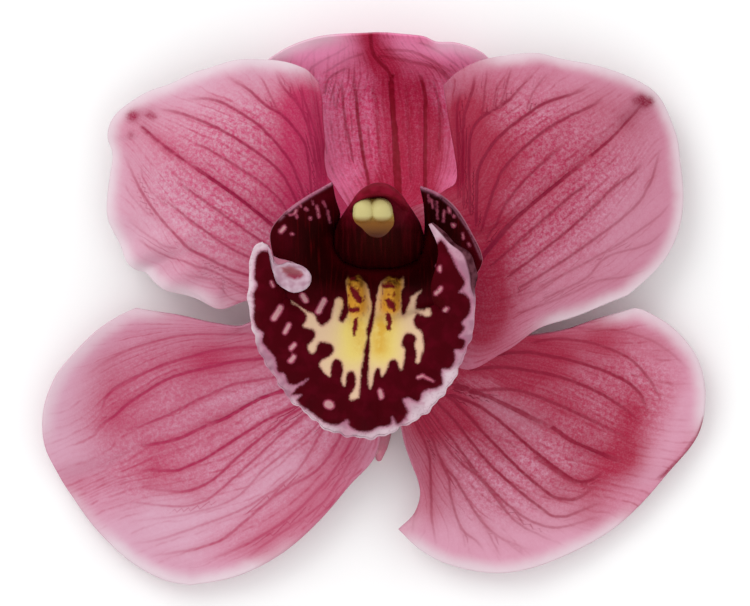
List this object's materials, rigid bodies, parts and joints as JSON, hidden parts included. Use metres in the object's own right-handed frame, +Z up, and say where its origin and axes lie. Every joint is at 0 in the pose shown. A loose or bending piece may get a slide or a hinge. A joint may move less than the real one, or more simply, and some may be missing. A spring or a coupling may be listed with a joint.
{
  "type": "cymbidium orchid bloom",
  "caption": "Cut orchid bloom lying face up, with broad waxy petals and sepals, a dark frilled lip, a hooded column and a short pedicel.",
  "frame": {"origin": "on the surface the bloom lies on, under the middle of its outline", "axes": "+Z up, out of the bloom's face; +Y from the lip towards the dorsal sepal; +X towards the right petal as the face is looked at"},
  "size_m": [0.1112, 0.0927, 0.0377],
  "materials": {
    "petal_left": "waxy petal, pink with crimson veins",
    "petal_right": "waxy petal, pink with crimson veins",
    "dorsal_sepal": "waxy sepal, rose with crimson veins",
    "lateral_sepal_left": "waxy sepal, rose with crimson veins",
    "lateral_sepal_right": "waxy sepal, rose with crimson veins",
    "lip": "velvety, maroon with a yellow middle and a pale frilled margin",
    "column": "waxy, dark maroon",
    "anther_cap": "smooth, pale yellow-green",
    "pedicel": "smooth, reddish green"
  },
  "bodies": {
    "root": {"dorsal_sepal": "dorsal_sepal", "lateral_sepal_left": "lateral_sepal_left", "lateral_sepal_right": "lateral_sepal_right", "petal_left": "petal_left", "petal_right": "petal_right", "lip": "lip", "column": "column", "anther_cap": "anther_cap", "pedicel": "pedicel"}
  },
  "joints": []
}
